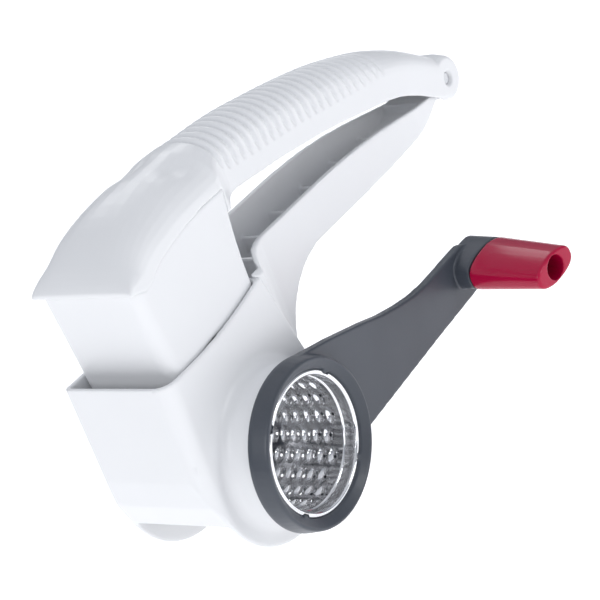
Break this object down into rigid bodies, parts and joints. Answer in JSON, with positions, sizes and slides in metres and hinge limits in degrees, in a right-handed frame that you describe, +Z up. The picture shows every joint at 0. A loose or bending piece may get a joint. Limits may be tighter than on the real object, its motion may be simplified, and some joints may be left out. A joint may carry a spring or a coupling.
{
  "type": "rotary cheese grater",
  "caption": "Hand-held rotary grater: white hopper head and squeeze handles, perforated steel drum, grey crank with a red knob.",
  "frame": {"origin": "middle of the footprint at the level of the two round lobes the head stands on", "axes": "+X along the handles from the head to the hinge, +Z up out of the hopper, the drum axis parallel to Y with the crank on the -Y side"},
  "size_m": [0.2002, 0.091, 0.12],
  "materials": {
    "white_plastic": "satin moulded",
    "grey_plastic": "satin moulded",
    "red_plastic": "polished",
    "drum_steel": "bright",
    "pin_steel": "turned"
  },
  "bodies": {
    "frame": {"head_housing": "white_plastic", "lower_handle": "white_plastic", "hinge_pin": "pin_steel"},
    "press": {"upper_handle": "white_plastic", "pusher_box": "white_plastic"},
    "drum_crank": {"drum_shell": "drum_steel", "drum_rim": "drum_steel", "drum_end_disc": "drum_steel", "end_hub": "grey_plastic", "crank": "grey_plastic", "knob_spindle": "pin_steel", "knob_washer": "pin_steel"},
    "knob": {"knob": "red_plastic"}
  },
  "joints": [
    {"name": "press_hinge", "type": "hinge", "parent": "frame", "child": "press", "pos_m": [0.0914, 0.0253, 0.0759], "axis": [0, 1, 0], "range_deg": [-6.5, 60]},
    {"name": "crank_spin", "type": "hinge", "parent": "frame", "child": "drum_crank", "pos_m": [-0.0661, -0.0047, 0.0314], "axis": [0, -1, 0], "continuous": true},
    {"name": "knob_spin", "type": "hinge", "parent": "drum_crank", "child": "knob", "pos_m": [0.0366, -0.0163, 0.0332], "axis": [-0.1564, -0.9877, 0], "continuous": true}
  ]
}
